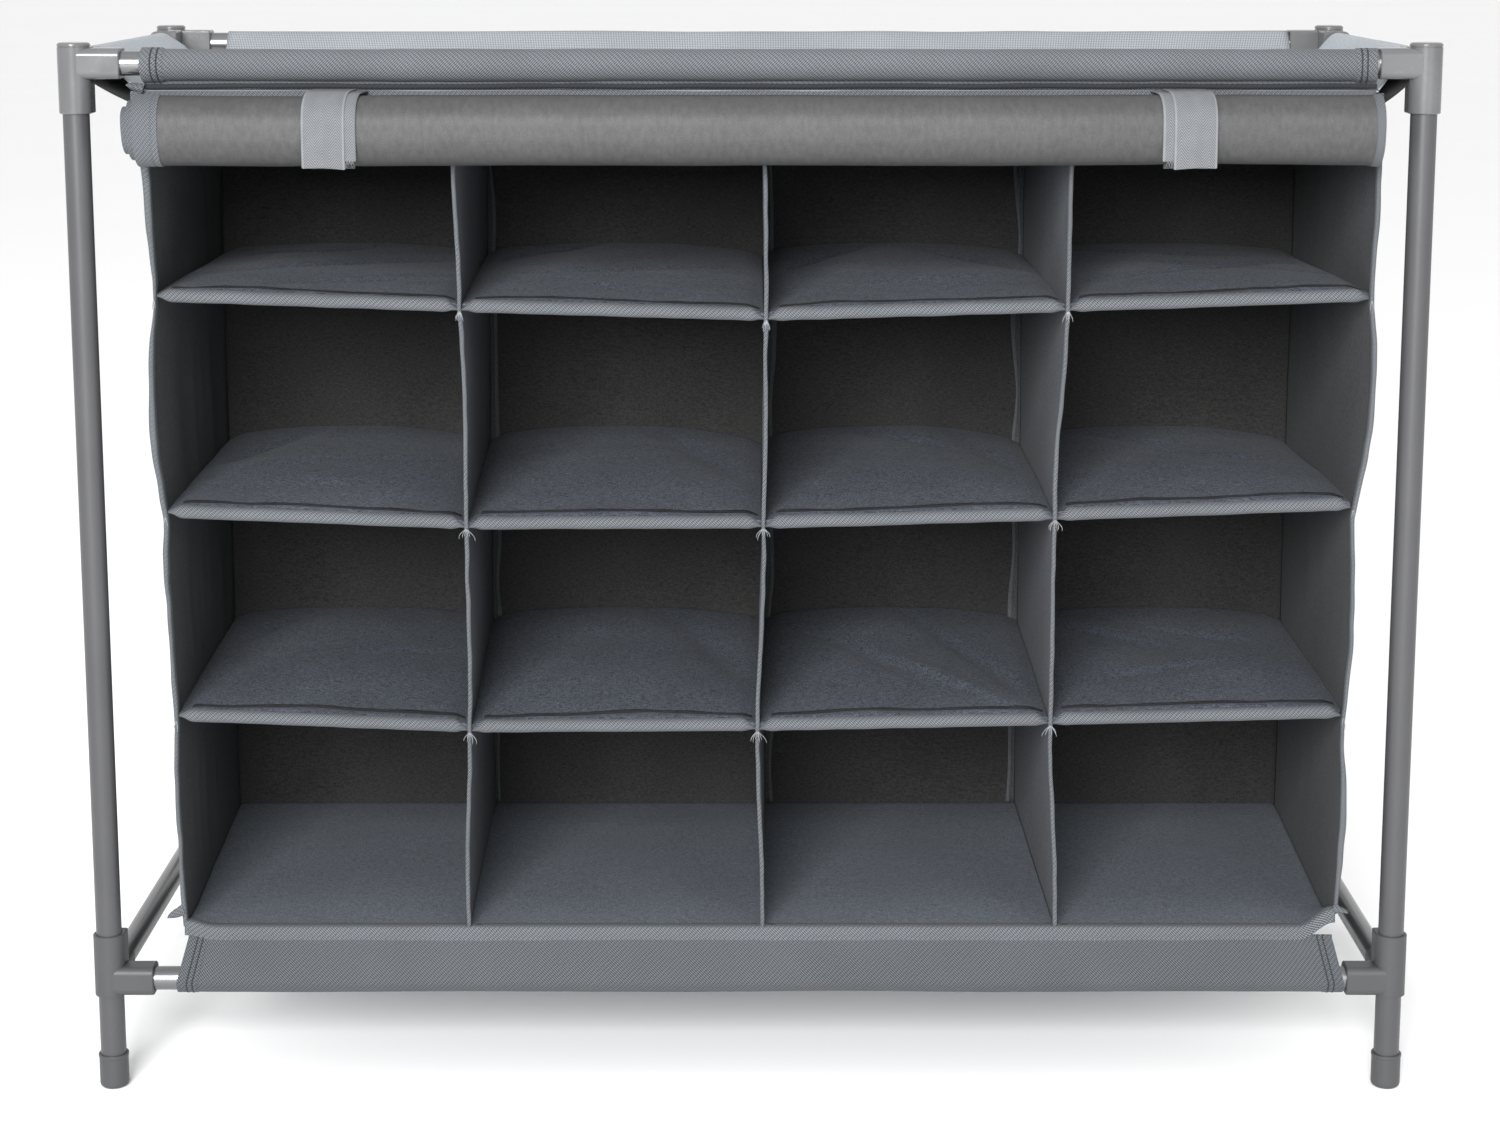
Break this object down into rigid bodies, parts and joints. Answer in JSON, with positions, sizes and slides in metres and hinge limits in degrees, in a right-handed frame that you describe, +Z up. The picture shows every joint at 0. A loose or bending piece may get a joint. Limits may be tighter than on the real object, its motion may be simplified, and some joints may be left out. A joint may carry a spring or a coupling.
{
  "type": "shoe organizer",
  "caption": "Free-standing cloth shoe rack on a tube frame, with a grid of open compartments, a shallow top tray and a rolled-up front cover held by straps.",
  "frame": {"origin": "on the floor, in the middle of the overall width and depth", "axes": "+X to the right seen from the front, +Y from the open front to the back, +Z up"},
  "size_m": [0.8994, 0.366, 0.7155],
  "materials": {
    "post_paint": "satin",
    "rail_metal": "glossy",
    "connector_plastic": "gloss",
    "foot_plastic": "matte",
    "twill_cloth": "woven",
    "cabinet_cloth": "non-woven",
    "dark_cloth": "non-woven",
    "cover_cloth": "coated",
    "webbing": "woven",
    "stiffener_board": "matte"
  },
  "bodies": {
    "frame": {"post_front_left": "post_paint", "leg_front_left": "post_paint", "foot_cap_front_left": "foot_plastic", "top_connector_front_left": "connector_plastic", "base_connector_front_left": "connector_plastic", "connector_cap_front_left": "connector_plastic", "post_rear_left": "post_paint", "leg_rear_left": "post_paint", "foot_cap_rear_left": "foot_plastic", "top_connector_rear_left": "connector_plastic", "base_connector_rear_left": "connector_plastic", "connector_cap_rear_left": "connector_plastic", "post_front_right": "post_paint", "leg_front_right": "post_paint", "foot_cap_front_right": "foot_plastic", "top_connector_front_right": "connector_plastic", "base_connector_front_right": "connector_plastic", "connector_cap_front_right": "connector_plastic", "post_rear_right": "post_paint", "leg_rear_right": "post_paint", "foot_cap_rear_right": "foot_plastic", "top_connector_rear_right": "connector_plastic", "base_connector_rear_right": "connector_plastic", "connector_cap_rear_right": "connector_plastic", "top_rail_front": "rail_metal", "top_rail_rear": "rail_metal", "top_rail_left": "rail_metal", "top_rail_right": "rail_metal", "base_rail_front": "rail_metal", "base_rail_rear": "rail_metal", "base_rail_left": "rail_metal", "base_rail_right": "rail_metal", "side_panel_left": "cabinet_cloth", "side_panel_right": "cabinet_cloth", "back_panel": "dark_cloth", "roof_panel": "cabinet_cloth", "divider_left": "cabinet_cloth", "divider_centre": "cabinet_cloth", "divider_right": "cabinet_cloth", "shelf_covers_row_1": "cabinet_cloth", "shelf_boards_row_1": "stiffener_board", "shelf_covers_row_2": "cabinet_cloth", "shelf_boards_row_2": "stiffener_board", "shelf_covers_row_3": "cabinet_cloth", "shelf_boards_row_3": "stiffener_board", "floor_panel": "cabinet_cloth", "floor_boards": "stiffener_board", "top_sleeve_front": "twill_cloth", "top_sleeve_rear": "twill_cloth", "top_sleeve_left": "twill_cloth", "top_sleeve_right": "twill_cloth", "base_sleeve_front": "twill_cloth", "base_sleeve_rear": "twill_cloth", "cover_top_band": "cover_cloth", "loop_strap_left": "webbing", "loop_strap_right": "webbing"},
    "cover": {"front_cover": "cover_cloth"},
    "strap_left": {"hook_strap_left": "webbing"},
    "strap_right": {"hook_strap_right": "webbing"}
  },
  "joints": [
    {"name": "cover_drop", "type": "slide", "parent": "frame", "child": "cover", "axis": [0, 0, -1], "range_m": [0, 0.52]},
    {"name": "strap_lift_left", "type": "hinge", "parent": "frame", "child": "strap_left", "pos_m": [-0.272, -0.14995, 0.68415], "axis": [-1, 0, 0], "range_deg": [0, 95]},
    {"name": "strap_lift_right", "type": "hinge", "parent": "frame", "child": "strap_right", "pos_m": [0.284, -0.14995, 0.68415], "axis": [-1, 0, 0], "range_deg": [0, 95]}
  ]
}
